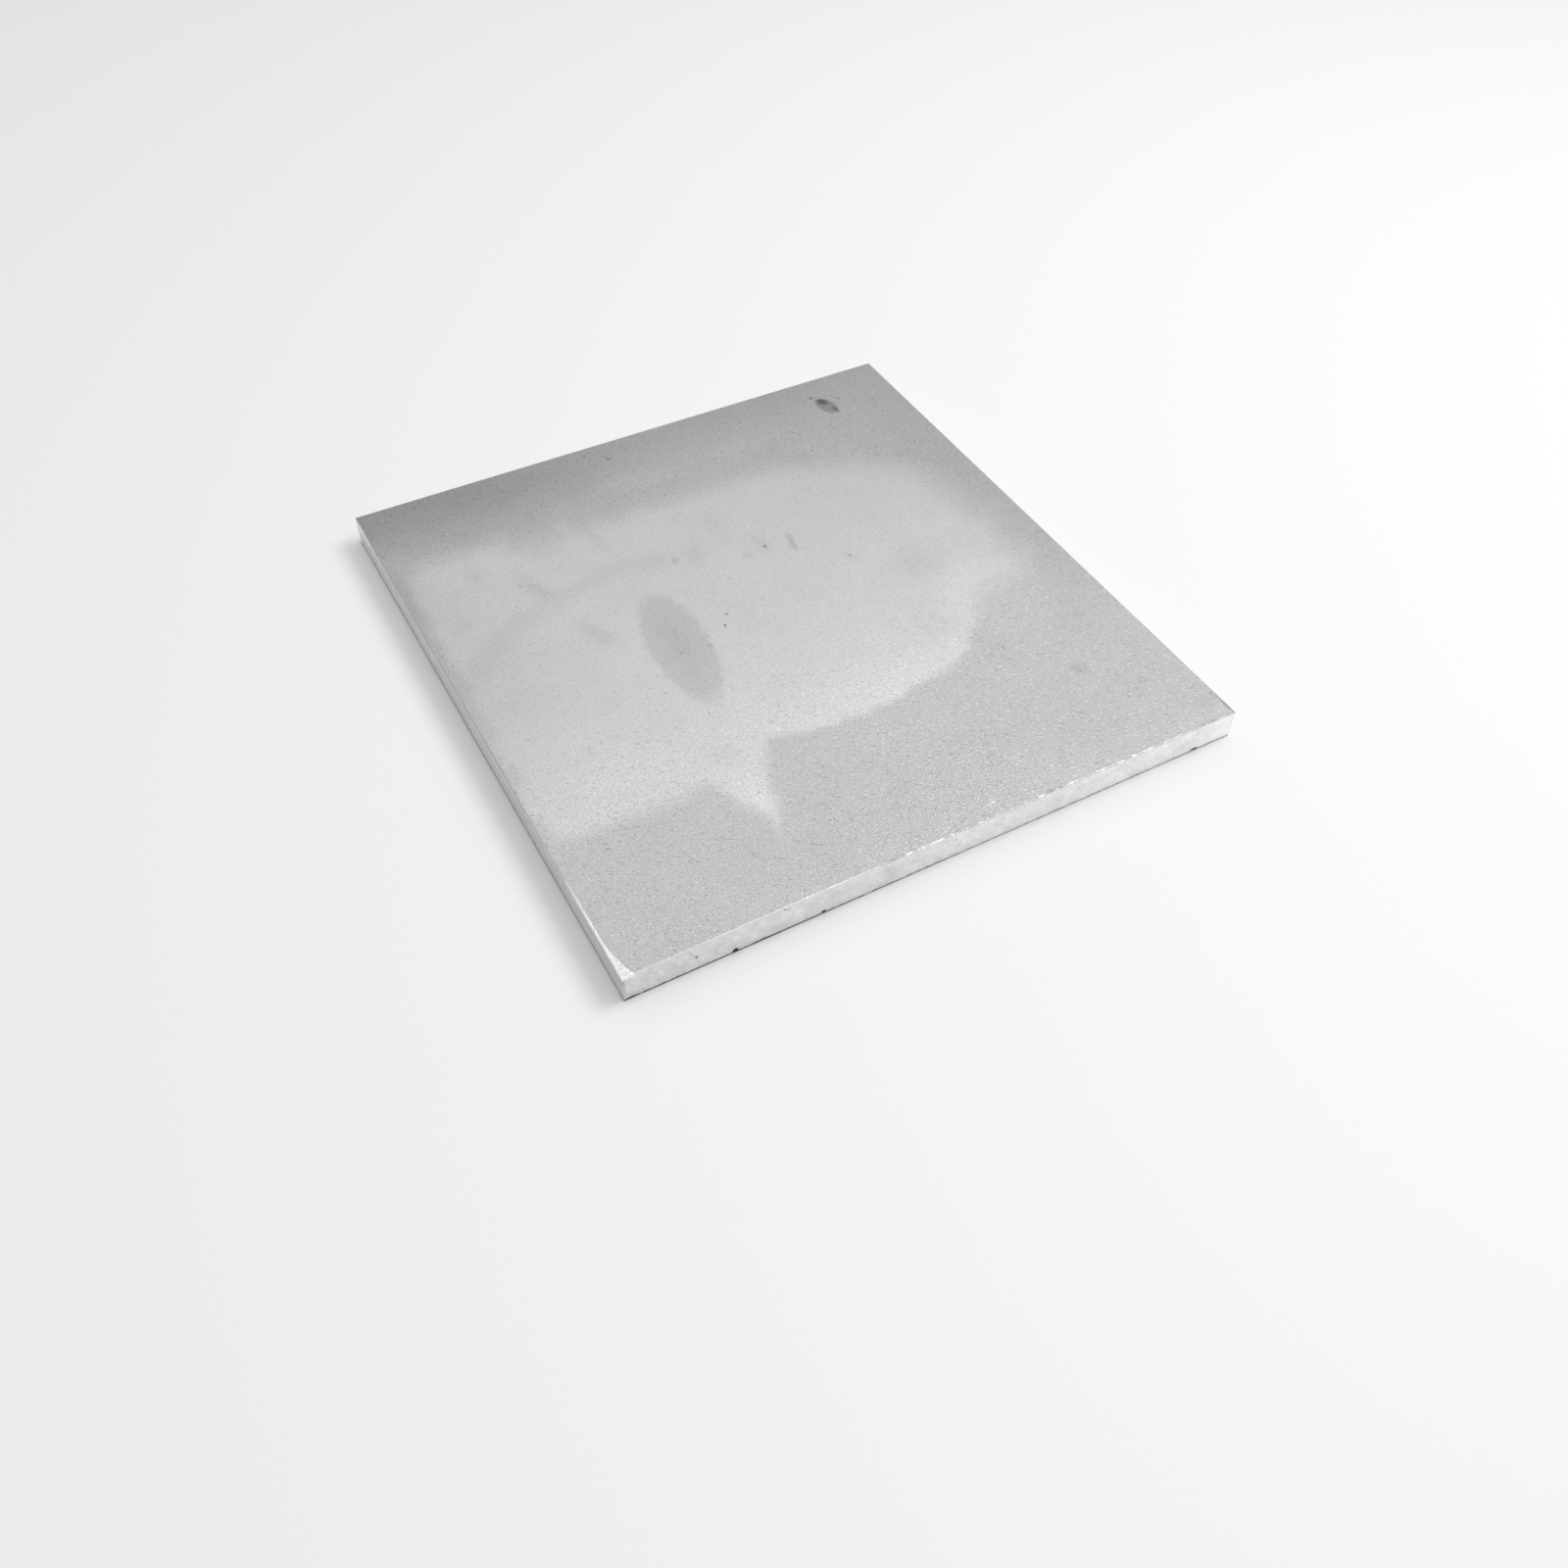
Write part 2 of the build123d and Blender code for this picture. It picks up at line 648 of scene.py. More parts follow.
def spot(tree, place, centre, reach, turn, core):
    """1 inside an oval and 0 outside it. `reach` is its half lengths in mm, and a side left at
    EVERYWHERE is not tested. `turn` is in degrees about x, y and z. The edge is soft from
    `core`, a share of the reach, out to the full reach."""
    turn = tuple(math.radians(degrees) for degrees in turn)
    inputs = {"Vector": place, "Location": centre, "Rotation": turn, "Scale": reach}
    local = tree.node("ShaderNodeMapping", {"vector_type": "TEXTURE"}, inputs)
    nearness = tree.node("ShaderNodeTexGradient", {"gradient_type": "SPHERICAL"}, {0: local}, output=1)
    return nearness.rise(0.0, 1.0 - core)


def squarish(x, y, centre, reach, fullness):
    """Millimetres from the edge of a squarish oval, below 0 inside it: the two distances from
    its centre, each as a share of its reach, raised to `fullness`, added, and brought back."""
    across = (abs(x - centre[0]) / reach[0]).power(fullness)
    along = (abs(y - centre[1]) / reach[1]).power(fullness)
    return ((across + along).power(1 / fullness) - 1) * min(reach)


# %% [markdown]
# ## The marks on the top
#
# Water stood on this plate and dried. It left a pale film with a soft edge at the back and a
# bright rim at the front, where the last of it dried. Beyond the film the top is painted darker,
# most of all at the back left: partly a dull film and partly painted shade, where the metal
# mirrors a dark part of the room, and in front painted shade that dims the panel's reflection.
# On top of that come a thumb-sized smudge, a drip, a dark stain and a scatter of faint patches
# and specks, with one painted glint among them. Each small mark is one line of a list: its
# middle, its two half lengths, its turn, how far its core reaches, and how much it lightens
# or darkens the metal, as a share.

# %% Small marks on the top
patches = {
    "thumb smudge": ((-20.6, -1.2), (6.9, 18.6), -5, 0.72, -0.19),
    "thumb smudge core": ((-20.6, -1.0), (5.0, 12.0), -5, 0.0, -0.06),
    "dried drip": ((-26.0, -43.0), (2.6, 7.0), 3, 0.0, 0.09),
    "streak by smudge": ((-33.5, 9.5), (3.2, 9.0), 20, 0.0, -0.12),
    "left patch": ((-39.0, 28.0), (3.2, 7.0), 15, 0.0, -0.12),
    "far left patch": ((-55.5, 24.5), (2.4, 5.5), 5, 0.0, -0.06),
    "upper left patch": ((-48.5, 37.0), (2.4, 6.0), 5, 0.0, -0.08),
    "upper middle patch": ((-21.5, 36.0), (2.4, 6.0), 5, 0.0, -0.08),
    "middle patch": ((-5.5, 22.5), (2.6, 7.0), -8, 0.0, -0.07),
    "middle patch left": ((-10.0, 22.0), (1.4, 2.4), 0, 0.0, -0.07),
    "inner patch": ((2.5, 30.0), (3.4, 8.0), 0, 0.0, -0.05),
    "inner patch low": ((3.9, 16.9), (1.6, 2.6), 0, 0.0, -0.10),
    "ringed patch": ((8.5, 19.0), (2.8, 6.5), 0, 0.0, -0.10),
    "comma": ((14.3, 16.6), (1.15, 4.6), -8, 0.25, -0.20),
    "right patch": ((22.8, 6.5), (2.2, 4.2), 10, 0.0, -0.07),
    "wide right patch": ((34.0, -1.0), (11.0, 9.5), 20, 0.0, -0.09),
    "low right patch": ((27.0, -20.5), (5.0, 8.0), 20, 0.0, -0.05),
    "upper right patch": ((25.5, 31.5), (2.2, 4.0), 0, 0.0, -0.05),
    "right edge patch": ((31.0, 38.0), (2.2, 6.0), -10, 0.0, -0.05),
    "small low patch": ((-11.5, -24.5), (1.8, 3.2), 0, 0.0, -0.05),
    "lower left patch": ((-39.0, -8.0), (2.4, 3.8), 20, 0.0, -0.05),
    "far patch": ((26.0, 47.2), (2.6, 2.8), 30, 0.0, -0.07),
    "front patch": ((44.5, -43.2), (2.6, 3.2), 0, 0.0, -0.10),
    "patch by specks": ((-4.0, 1.5), (2.2, 5.0), 0, 0.0, -0.04),
    # The broad darkening over the left of the top, and the one at its back left, are partly a dull film
    # and partly painted shade.
    "left dulling": ((-72.0, 6.0), (42.0, 50.0), 0, 0.2, -0.10),
    "pale shoulder": ((43.0, -18.0), (15.0, 17.0), 0, 0.4, 0.08),
    "left back dulling": ((-62.5, 38.0), (7.5, 14.0), 0, 0.0, -0.12),
    "dull by the rim": ((-27.0, -31.5), (6.5, 6.0), 0, 0.0, -0.08),
    "pale back band": ((-5.0, 51.5), (15.0, 4.5), -5, 0.0, 0.07),
    "pale back right": ((19.0, 52.0), (9.0, 4.0), 0, 0.0, 0.05),
}
stain_and_specks = {
    "dark stain": ((45.6, 55.9), (2.3, 4.1), 14, 0.65, -0.34),
    "stain core": ((45.4, 57.8), (1.6, 2.1), 20, 0.3, -0.30),
    "stain tail": ((46.8, 53.8), (0.8, 1.8), 12, 0.2, -0.30),
    "stain crumb": ((44.0, 60.3), (0.7, 0.9), -40, 0.2, -0.36),
    "stain neighbour": ((49.4, 57.4), (0.8, 1.0), 0, 0.0, -0.24),
    "back smear": ((-7.4, 60.7), (1.3, 0.6), 20, 0.1, -0.28),
    "back speck": ((-12.0, 63.9), (0.4, 0.55), 0, 0.2, -0.45),
    "left dot": ((-41.3, 29.6), (0.6, 0.9), 10, 0.0, -0.22),
    "ringed dot": ((8.6, 17.8), (0.75, 0.9), 0, 0.2, -0.45),
    "middle dot": ((-10.0, 22.4), (0.9, 1.2), 0, 0.3, -0.17),
    "middle dot hole": ((-9.6, 22.3), (0.45, 0.6), 0, 0.3, 0.17),
    "right dot": ((22.7, 7.0), (0.6, 0.75), 0, 0.2, -0.30),
    "right edge dot": ((33.8, 42.2), (0.4, 0.6), -20, 0.1, -0.30),
    "smudge dot upper": ((-19.6, 2.8), (0.4, 0.4), 0, 0.2, -0.26),
    "smudge dot lower": ((-21.3, -3.2), (0.5, 0.5), 0, 0.2, -0.28),
    "smudge dot right": ((-15.3, -3.6), (0.4, 0.45), 0, 0.2, -0.24),
    "black speck": ((-10.1, 0.0), (0.40, 0.6), -20, 0.4, -0.85),
    "black speck upper": ((-8.2, 2.8), (0.6, 0.32), 30, 0.3, -0.62),
    "low speck": ((-11.6, -24.6), (0.3, 0.5), 0, 0.2, -0.36),
    "lower speck": ((-24.0, -20.3), (0.35, 0.8), -10, 0.1, -0.26),
    "tall speck": ((34.9, -31.3), (0.35, 0.8), -8, 0.2, -0.45),
    "front speck": ((43.9, -42.3), (0.4, 0.22), 20, 0.2, -0.36),
    "front speck right": ((44.2, -43.6), (0.95, 0.16), -36, 0.3, -0.42),
    "dark tip": ((63.25, -64.0), (0.5, 3.6), 0, 0.4, -0.34),
    "dark tip end": ((62.6, -60.8), (0.45, 0.8), 10, 0.2, -0.30),
    # A painted highlight: the next mark is a glint painted into the colour.
    "small low painted glint": ((2.5, 9.6), (0.3, 0.4), 0, 0.2, 0.24),
    "speck by middle": ((-13.3, 18.6), (0.35, 0.45), 0, 0.2, -0.20),
    "edge speck": ((-32.1, -64.7), (0.25, 0.45), -20, 0.2, -0.50),
    "left speck": ((-49.3, -11.4), (0.35, 0.4), 0, 0.1, -0.24),
    "left speck low": ((-51.7, -17.1), (0.45, 0.35), 0, 0.1, -0.26),
    "left bright dash": ((-62.3, -14.8), (0.5, 0.2), 0, 0.3, 0.40),
    "bright dent": ((4.1, -37.3), (0.35, 0.4), 0, 0.2, 0.30),
    "bright nick": ((10.3, -63.7), (0.75, 0.36), 8, 0.5, 0.42),
    "nick tail": ((9.2, -63.9), (0.9, 0.18), 4, 0.3, 0.30),
}


def add_marks(tree, place, marks):
    """The share by which the marks lighten or darken the metal, added up over the marks."""
    total = 0
    for centre, reach, turn, core, share in marks.values():
        mark = spot(tree, place, (*centre, 0), (*reach, EVERYWHERE), (0, 0, turn), core)
        total = mark * share + total
    return total


# %% Dried film
def dried_film(tree, place):
    """The pale film: a big squarish oval with its front right corner cut off slantwise, joined
    to a smaller one that reaches further back on the left. Returns how much film there is,
    its bright rim along the front, and the darker ring that an earlier puddle left in it."""
    moved = torn(tree, place, 7.0, 1.3)
    x, y, _ = axes_of(tree, moved)
    # Each is the millimetres past one line: two straight ones and one that bows forwards.
    slant = x * 0.81 - y * 0.58 - 40.0
    ledge = x * 0.29 - y * 0.96 - 25.4
    sag = (x - 1) * (x - 1) * 0.005 - 33 - y
    main = squarish(x, y, (-14, 3.0), (67.0, 37.0), 3).greater(slant.lesser(ledge)).greater(sag)
    back_left = squarish(x, y, (-43.0, 5.0), (20.5, 40.6), 8)
    tongue = squarish(x, y, (-32.5, 47.5), (5.5, 10.0), 2)
    drip = (abs(x + 26) * 0.94 - (y + 50) * 0.35).greater(y + 25)
    no_tongue = 0 - tongue
    edge = main.lesser(back_left).greater(no_tongue).lesser(drip)
    left_strip = 1 - x.rise(-half_width + 4.2, -half_width + 0.5) * y.rise(-45, 25)
    # The edge is wide and soft at the back and on the right, and crisp along the front.
    front = y.rise(-18, -26)
    soft = main.greater(no_tongue).rise(5.5, -3.5).greater(back_left.greater(no_tongue).rise(1.8, -2.8))
    crisp = edge.rise(2.0, -1.0)
    film = (soft + (crisp - soft) * front) * left_strip
    rim = edge.rise(1.5, -1.5) * edge.rise(-14.0, -4.0) * front * (0.5 + 0.5 * x.rise(-24, -12))
    ring = abs(squarish(x, y, (-20, -5), (43, 30), 2)).rise(4.4, 0.0)
    ring = ring * y.rise(2, 12) * x.rise(2, -14)
    return film, rim, ring


def dulling_and_painted_shade(tree, place):
    """How much darker the top is painted around the film: most at the back left, some along the
    back, down the right and in front, and a little less at the back right corner. At the back and
    down the right this is partly a dull film on the metal and partly painted shade, where the
    metal mirrors a dark part of the room; in front it is painted shade that dims the panel's
    reflection."""
    x, y, _ = axes_of(tree, torn(tree, place, 9.0, 1.6))
    back_left = y.rise(38, 62) * x.rise(14, -50) * 0.20
    back = y.rise(46, 66) * 0.11
    right = x.rise(47, 58) * y.rise(-25, 20) * y.rise(64, 48) * 0.05
    back_right = x.rise(45, 60) * y.rise(48, 60) * 0.05
    # Painted shade in front, dimming the panel's reflection most towards the right.
    front = y.rise(-34, -66) * (0.05 + 0.08 * x.rise(-60, 40))
    return back_left + back + right - back_right + front


# %% [markdown]
# ## The sawn sides
#
# The saw's arcs are the same curve as in the mesh: distance along the side plus the blade's
# reach at that height. Noise read along that one number gives streaks that lie on the arcs,
# so colour and relief agree. The height counts for a little as well, which breaks them up.

# %% Saw streaks
def along_the_side(x, y):
    """Distance along whichever side the point is on, growing anticlockwise, and how far it is
    on the left and on the front side. A side begins 0.5 mm in and counts fully from 0.3 mm."""
    on_right = x.rise(half_width - 0.5, half_width - 0.3)
    on_left = x.rise(0.5 - half_width, 0.3 - half_width)
    on_back = y.rise(half_length - 0.5, half_length - 0.3)
    on_front = y.rise(0.5 - half_length, 0.3 - half_length)
    return x * (on_front - on_back) + y * (on_right - on_left), on_left, on_front


def saw_streaks(tree, along, z):
    """Fine and broad streaks along the blade's arcs, each between 0 and 1."""
    rise = z - blade_centre_height
    arc = along + (blade_radius ** 2 - rise * rise).power(0.5)
    fine_place = tree.node("ShaderNodeCombineXYZ", inputs={0: arc, 1: z * 0.18, 2: along * 0.02})
    broad_place = tree.node("ShaderNodeCombineXYZ", inputs={0: arc, 1: z * 0.35, 2: 7.0})
    return noise(tree, fine_place, 0.34), noise(tree, broad_place, 2.3)


# %% Small marks on the front side, and dirt and painted contact shadow at its foot
# Each is its middle along and up, its two half lengths, its lean, its core and its share.
front_marks = {
    # The foot dirt rows along the bottom are dirt and painted contact shadow where the plate meets the
    # bench; the chips and flecks are dirt.
    "foot dirt and painted shadow left": ((-62.0, 0.1), (1.7, 0.55), 0, 0.5, -0.85),
    "foot dirt and painted shadow long": ((-52.0, 0.0), (9.5, 0.32), 0, 0.7, -0.70),
    "foot chip": ((-43.0, 0.5), (0.75, 0.75), 20, 0.5, -0.90),
    "foot dirt and painted shadow middle": ((-37.6, 0.05), (3.8, 0.55), 0, 0.5, -0.85),
    "foot dirt and painted shadow thin": ((-30.0, 0.0), (5.0, 0.32), 0, 0.5, -0.60),
    "foot fleck": ((-25.9, 0.55), (0.6, 0.55), -30, 0.4, -0.85),
    "foot dirt and painted shadow after": ((-21.0, 0.0), (8.0, 0.25), 0, 0.5, -0.50),
    "small foot fleck": ((-15.7, 0.3), (0.6, 0.35), 0, 0.3, -0.65),
    "right foot chip": ((55.1, 0.45), (0.95, 0.42), 0, 0.5, -0.90),
    "foot dirt and painted shadow right": ((58.5, 0.05), (5.0, 0.30), 0, 0.3, -0.45),
    "black dot": ((-50.2, 3.35), (0.32, 0.42), -30, 0.4, -0.75),
    "line to dot": ((-51.1, 4.6), (0.14, 1.5), -35, 0.2, -0.35),
    "left scratch": ((-57.6, 3.9), (0.16, 1.0), -35, 0.2, -0.35),
    "torn notch": ((-33.6, 5.9), (0.30, 1.1), -40, 0.3, -0.42),
    "torn notch side": ((-32.8, 5.6), (0.22, 0.9), 20, 0.3, -0.38),
    "torn lip left": ((-35.4, 6.25), (1.2, 0.2), 8, 0.3, -0.45),
    "middle dot": ((0.7, 4.45), (0.40, 0.42), 0, 0.3, -0.50),
    "right scuff": ((54.8, 5.0), (0.35, 1.5), -25, 0.0, -0.22),
    "left grey patch": ((-24.0, 3.6), (2.6, 2.4), -35, 0.1, -0.09),
    "middle grey patch": ((-12.5, 3.5), (2.2, 3.0), -30, 0.1, -0.10),
    "right grey patch": ((23.0, 3.0), (2.2, 3.2), -25, 0.1, -0.11),
}


def add_front_marks(tree, place):
    """As add_marks, for marks on the front side, which is upright."""
    total = 0
    for (along, up), (reach_along, reach_up), lean, core, share in front_marks.values():
        centre, reach = (along, -half_length, up), (reach_along, EVERYWHERE, reach_up)
        mark = spot(tree, place, centre, reach, (0, lean, 0), core)
        total = mark * share + total
    return total


# %% [markdown]
# ## One finish for the whole skin
#
# Bare metal is metallic all over, so its colour is the colour of its reflections. What
# differs between a rolled face, a sawn side, a burr and a rubbed corner is how much light
# comes back and how widely it is scattered. So there is one shader, and masks worked out from
# places choose tone, roughness and bump: sides where a point is within a hair of the outline,
# top where it is high, rubbed where the same formula as in the mesh is above 0.

# %% Tones from 0 to 1, what lightens or darkens them, and sizes in millimetres
rolled_tone = 0.545
front_tone = 0.845
left_tone = 0.69
rubbed_tone = 1.0
film_lift = 0.21
rim_lift = 0.04
ring_drop = 0.07
painted_contact_shadow_drop = 0.9
bevel_drop = 0.36
grain_size = 0.29
fray_size = 0.45
grain_height = 0.060


# %% Where the point is
def look_around(tree):
    """What the finishes need to know of a point, each under its own name: its place, how far
    it is from the front and the left, which side it is on, and a noise that frays borders.
    The four that start with is_ say how far it belongs to a side, the top, the lip between
    them and the rubbed corner."""
    at = SimpleNamespace()
    at.place, at.x, at.y, at.z = place_in_mm(tree)
    at.from_front = at.y + half_length
    at.from_left = at.x + half_width
    at.along, at.on_left, at.on_front = along_the_side(at.x, at.y)
    at.frayed = noise(tree, at.place, fray_size)

    from_side = (half_width - abs(at.x)).lesser(half_length - abs(at.y))
    near_top = at.z.rise(gauge - 0.9, gauge - 0.6)
    at.is_side = from_side.rise(0.16, 0.05)
    at.is_top = near_top * (1 - at.is_side)
    at.is_lip = at.is_side * at.z.rise(gauge - 0.34, gauge - 0.2)

    # The same hollow curve as in the mesh, and a worn strip that runs on along the left edge.
    rub = (1 - at.from_front / rub_reach_left).greater(0.0).power(rub_hollow)
    rub = rub - at.from_left / rub_reach_front
    left_strip = at.from_left.rise(0.36, 0.24) * at.y.rise(-42, -54)
    at.is_rubbed = (rub + 0.16 * (at.frayed - 0.5)).rise(-0.01, 0.05).greater(left_strip) * near_top
    return at


# %% Rolled, sawn, lip and rubbed metal
def rolled_metal(tree, at):
    """Tone of the rolled faces: grain, bright glint flecks that are painted highlights, dark pits,
    cloudiness, and on top the film, its marks and its specks, and the darkening beyond the film,
    which is partly painted shade. Returns the grain and the film too, for roughness and bump."""
    grain = noise(tree, at.place, grain_size, roughness=0.55)
    slanted = tree.node("ShaderNodeMapping", {"vector_type": "TEXTURE"}, {
        "Vector": at.place, "Rotation": (0, 0, math.radians(-28)), "Scale": (1.9, 1, 1)})
    flecks = noise(tree, slanted, 0.42, detail=1.0, output="Color")
    bright, dark = (tree.node("ShaderNodeSeparateColor", inputs={0: flecks}, output=n)
                    for n in range(2))
    cloud = noise(tree, at.place, 12.0, detail=4.0, roughness=0.6)

    # Glint flecks, highlights of the grain painted into the colour, are strongest at the front right.
    # Grain is weaker to the right and under the film.
    film, rim, ring = dried_film(tree, at.place)
    glint_reach = 0.25 + 0.75 * (at.x.rise(-35, 30) * 0.6 + at.y.rise(0, -35) * 0.4)
    painted_glints_and_pits = bright.rise(0.58, 0.70) * 0.26 * glint_reach - dark.rise(0.40, 0.28) * 0.20
    strength = 1.05 - 0.40 * at.x.rise(-20, 45)
    coarse = 1 - 0.42 * film * at.y.rise(-40, 0)
    mottle = ((grain - 0.5) * strength + painted_glints_and_pits) * coarse + (cloud - 0.5) * 0.10

    marks = add_marks(tree, torn(tree, at.place, 3.0, 0.5), patches)
    specks = add_marks(tree, torn(tree, at.place, 0.6, 0.17), stain_and_specks)
    shade = film * film_lift + rim * rim_lift - ring * ring_drop
    shade = shade + marks + specks * (0.5 + at.frayed) - dulling_and_painted_shade(tree, at.place)
    return rolled_tone * (1 + mottle) * (1 + shade * at.is_top), grain, film


def sawn_metal(tree, at, side_tone):
    """Tone of the sawn sides: streaks, blotches, stretches made lighter, a painted shadow under the
    rubbed corner, marks, and a dark line at the foot that is painted contact shadow where the plate
    meets the bench. Returns the fine streaks too, for the bump."""
    fine, broad = saw_streaks(tree, at.along, at.z)
    blotch = noise(tree, at.place, 2.4, detail=4.0, roughness=0.6)
    scuffs = noise(tree, at.place, 0.7, detail=4.0, roughness=0.7)
    streaks = (fine - 0.5) * 0.14 + (broad - 0.5) * 0.12
    streaks = streaks + (blotch - 0.5) * 0.40 + (scuffs - 0.5) * 0.42

    # The front side is lighter towards its right end; the left side is lighter low down and at the back
    # top, and carries a painted shadow in a band under the rubbed corner.
    front_end = at.x * 0.0014 + 0.08 * at.x.rise(54, 62)
    left_foot = at.z.rise(3.0, 1.5) * at.z.rise(0.3, 1.0) * 0.08
    left_back = at.y.rise(50, 62) * at.z.rise(3, 5) * 0.16
    painted_shadow_under_rub = at.z.rise(4.4, 4.9) * at.z.rise(5.6, 5.1) * at.y.rise(-48, -60) * 0.18
    lighter_stretches_and_painted_shadow = at.on_front * front_end + at.on_left * (left_foot + left_back - painted_shadow_under_rub)

    marks = add_front_marks(tree, torn(tree, at.place, 0.8, 0.12)) * at.on_front
    sawn = side_tone * (1 + streaks * (1 - 0.4 * at.on_left) + lighter_stretches_and_painted_shadow + marks)
    # Painted contact shadow: a dark line along the foot of the sides, where the plate meets the bench,
    # higher towards the left.
    foot = (at.z + 0.6 * (at.frayed - 0.5) - 0.12 * at.x.rise(10, -40)).rise(0.26, 0.17)
    return sawn * (1 - painted_contact_shadow_drop * foot), fine


def lip_metal_with_painted_light(tree, at, side_tone):
    """Tone of the lip where a side meets the top. Where it is whole it is painted darker, as painted
    shade that holds back the panel's highlight on the rounded edge, and darker still along the left
    lip from its middle to the back. It is bright in short dashes where it is torn, partly fresh
    metal and partly painted highlight, and bright all along the front part of the left lip as a
    painted highlight. Returns the dashes too."""
    dash_place = tree.node("ShaderNodeCombineXYZ", inputs={
        0: at.along, 1: at.on_left * 20, 2: at.on_front * 9})
    dashes = noise(tree, dash_place, 2.2, detail=4.0, roughness=0.7)
    # The dashes are partly fresh torn metal and partly painted highlight; along the front part of the
    # left lip they join into one painted highlight.
    front_lip = at.x.rise(-16, -8) * at.x.rise(64, 40) + at.x.rise(-11, -8) * at.x.rise(3, 0) * 0.7
    left_lip = at.y.rise(-36, -54) * 4 + at.y.rise(54, 60)
    reach = at.on_front * front_lip + at.on_left * left_lip
    dashes = (dashes - 0.62 + 0.10 * reach).rise(0.0, 0.05)
    # Painted shade: the whole lip is darker, holding back the panel's highlight on its rounded edge,
    # and the left lip is darker still from its middle to the back.
    whole = side_tone * (0.92 - 0.32 * at.on_left * at.y.rise(-40, -15))
    return whole + (1.0 - whole) * dashes, dashes


def rubbed_metal(tree, at):
    """Tone of the rubbed corner: bright at its edges, and speckled with crumbs inside them."""
    crumbs = noise(tree, at.place, 0.32, detail=3.0, roughness=0.6).rise(0.40, 0.66)
    inside = at.from_front.rise(0.2, 0.6) * at.from_left.rise(0.1, 0.6)
    return rubbed_tone - (0.04 + 0.34 * crumbs) * inside


# %% Finish of the whole skin
def plate_finish():
    """The one material: the four metals laid over each other by the masks of the place."""
    material = bpy.data.materials.new("mill_and_sawn_aluminium")
    tree = Tree(material)
    at = look_around(tree)
    side_tone = front_tone + (left_tone - front_tone) * at.on_left
    rolled, grain, film = rolled_metal(tree, at)
    sawn, fine = sawn_metal(tree, at, side_tone)
    lip, dashes = lip_metal_with_painted_light(tree, at, side_tone)

    tone = rolled + (sawn - rolled) * at.is_side
    tone = tone + (lip - tone) * at.is_lip
    front_bevel = at.from_front.rise(0.36, 0.24) * at.z.rise(gauge - 0.22, gauge - 0.12)
    tone = tone * (1 - bevel_drop * front_bevel * at.x.rise(-24, -8) * (1 - dashes))
    tone = tone + (rubbed_metal(tree, at) - tone) * at.is_rubbed
    tone = tone.greater(0.03).lesser(1.0)

    roughness = 0.30 + 0.06 * film + 0.05 * (grain - 0.5) + 0.16 * at.is_side + 0.2 * at.is_rubbed
    height = grain + (fine * 1.5 - grain) * at.is_side

    colour = tree.node("ShaderNodeCombineColor", inputs={0: tone, 1: tone, 2: tone * 1.004})
    bump = tree.node("ShaderNodeBump", inputs={
        "Strength": 1.0, "Distance": grain_height * MM, "Height": height})
    shader = tree.node("ShaderNodeBsdfPrincipled", inputs={
        "Base Color": colour, "Metallic": 1.0, "Roughness": roughness, "Normal": bump})
    tree.node("ShaderNodeOutputMaterial", inputs={"Surface": shader})
    print(len(tree.nodes), "nodes in the finish")
    return material


skin.data.materials.append(plate_finish())
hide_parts("plate")
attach(skin, "root")

# %% [markdown]
# ## The bench
#
# The plate lies on a pale, matt bench. The bench is one big square, so large that its far
# edge reads as a horizon from any side. It takes the plate's soft shadow and throws light
# back on the sawn sides, which is most of what they show.

# %% Bench
bench_reach = 12000
bench_tone = 0.855


def bench():
    """A square of pale paint, level with the plate's underside."""
    mesh = bpy.data.meshes.new("bench_top")
    reach = bench_reach * MM
    mesh.from_pydata([(-reach, -reach, 0), (reach, -reach, 0), (reach, reach, 0), (-reach, reach, 0)],
                     [], [(0, 1, 2, 3)])
    floor = bpy.data.objects.new("bench_top", mesh)
    bpy.context.scene.collection.objects.link(floor)
    paint = bpy.data.materials.new("pale_bench")
    tree = Tree(paint)
    shader = tree.node("ShaderNodeBsdfPrincipled", inputs={
        "Base Color": (bench_tone, bench_tone, bench_tone, 1), "Roughness": 0.6})
    tree.node("ShaderNodeOutputMaterial", inputs={"Surface": shader})
    mesh.materials.append(paint)
    return floor


bench()

# %% [markdown]
# ## The light
#
# One soft panel stands to the right and gives the shadow beside the left side of the plate.
# The rest comes from the room: a world that is dim near the floor and bright overhead. Bare
# metal shows the room, so this glow is what shades the top from pale in front to darker at
# the back.

# %% Light
panel_place = (384, -68, 582)
panel_side = 300
panel_watts = 1.65
dimmest_glow = 0.38


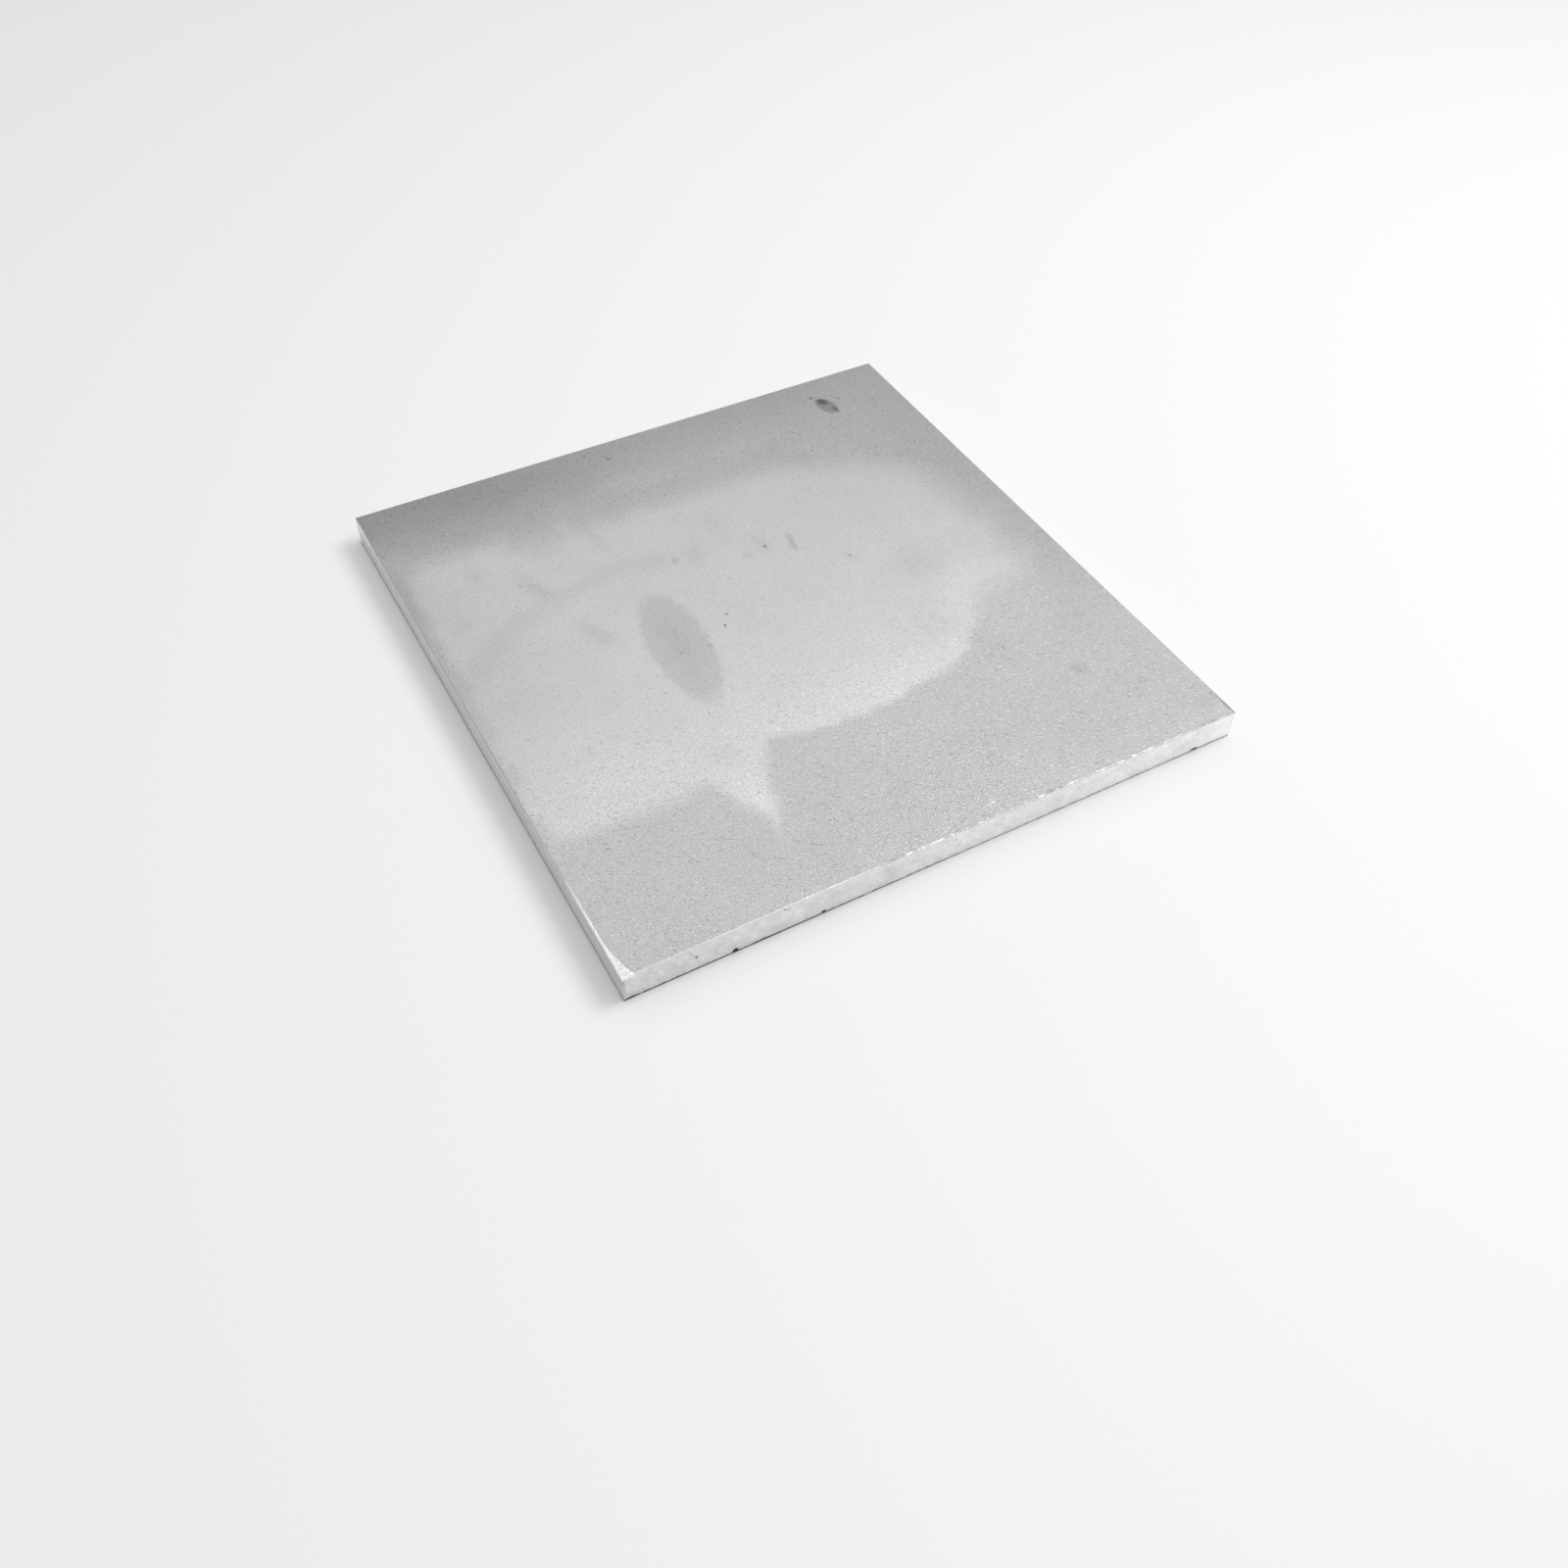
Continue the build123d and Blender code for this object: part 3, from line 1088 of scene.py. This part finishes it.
def soft_panel(name):
    """A square lamp that faces the middle of the plate."""
    light = bpy.data.lights.new(name, "AREA")
    light.shape = "SQUARE"
    light.size = panel_side * MM
    light.energy = panel_watts
    lamp = bpy.data.objects.new(name, light)
    lamp.location = Vector(panel_place) * MM
    lamp.rotation_euler = (-lamp.location).to_track_quat("-Z", "Y").to_euler()
    bpy.context.scene.collection.objects.link(lamp)


def studio_world():
    """A room that is dim near the floor, brightest about 50 degrees up and to the right, and
    a little dimmer straight overhead. The world's Generated vector is the direction of view,
    so its z is the sine of the height above the floor."""
    world = bpy.data.worlds.new("studio")
    bpy.context.scene.world = world
    tree = Tree(world)
    right, _, up = axes_of(tree, tree.node("ShaderNodeTexCoord"))
    ceiling = 1.085 * up.rise(0.25, 0.78) - 0.25 * up.rise(0.80, 1.0)
    glow = (ceiling * (1 + 0.26 * right)).greater(dimmest_glow)
    sky = tree.node("ShaderNodeBackground", inputs={"Color": (1, 1, 1, 1), "Strength": glow})
    tree.node("ShaderNodeOutputWorld", inputs={"Surface": sky})


soft_panel("window_right")
studio_world()
bpy.context.scene.view_settings.view_transform = "Standard"

# %% [markdown]
# ## The camera
#
# The camera looks down on the front left corner from close by, a little tilted as a camera
# in the hand is. Its direction is worked out from two angles and its place from a distance,
# so each can be changed on its own.

# %% Camera
view_azimuth = 30.07
view_elevation = 48.13
view_roll = 1.365
view_distance = 266.5
aim = Vector((-20.3, -42.35, gauge))
lens_length = 34.19
film_width = 36.0


def place_camera():
    """Puts the camera `view_distance` back from `aim`, and turns it about its own axis."""
    turn = math.radians(view_azimuth)
    tilt = math.radians(view_elevation)
    ahead = Vector((math.sin(turn) * math.cos(tilt), math.cos(turn) * math.cos(tilt), -math.sin(tilt)))
    camera_data = bpy.data.cameras.new("camera")
    camera_data.lens = lens_length
    camera_data.sensor_width = film_width
    camera_data.clip_start = 0.01
    camera = bpy.data.objects.new("camera", camera_data)
    roll = Matrix.Rotation(math.radians(view_roll), 3, "Z")
    turned = ahead.to_track_quat("-Z", "Y").to_matrix() @ roll
    camera.matrix_world = Matrix.Translation((aim - ahead * view_distance) * MM) @ turned.to_4x4()
    bpy.context.scene.collection.objects.link(camera)
    bpy.context.scene.camera = camera


place_camera()
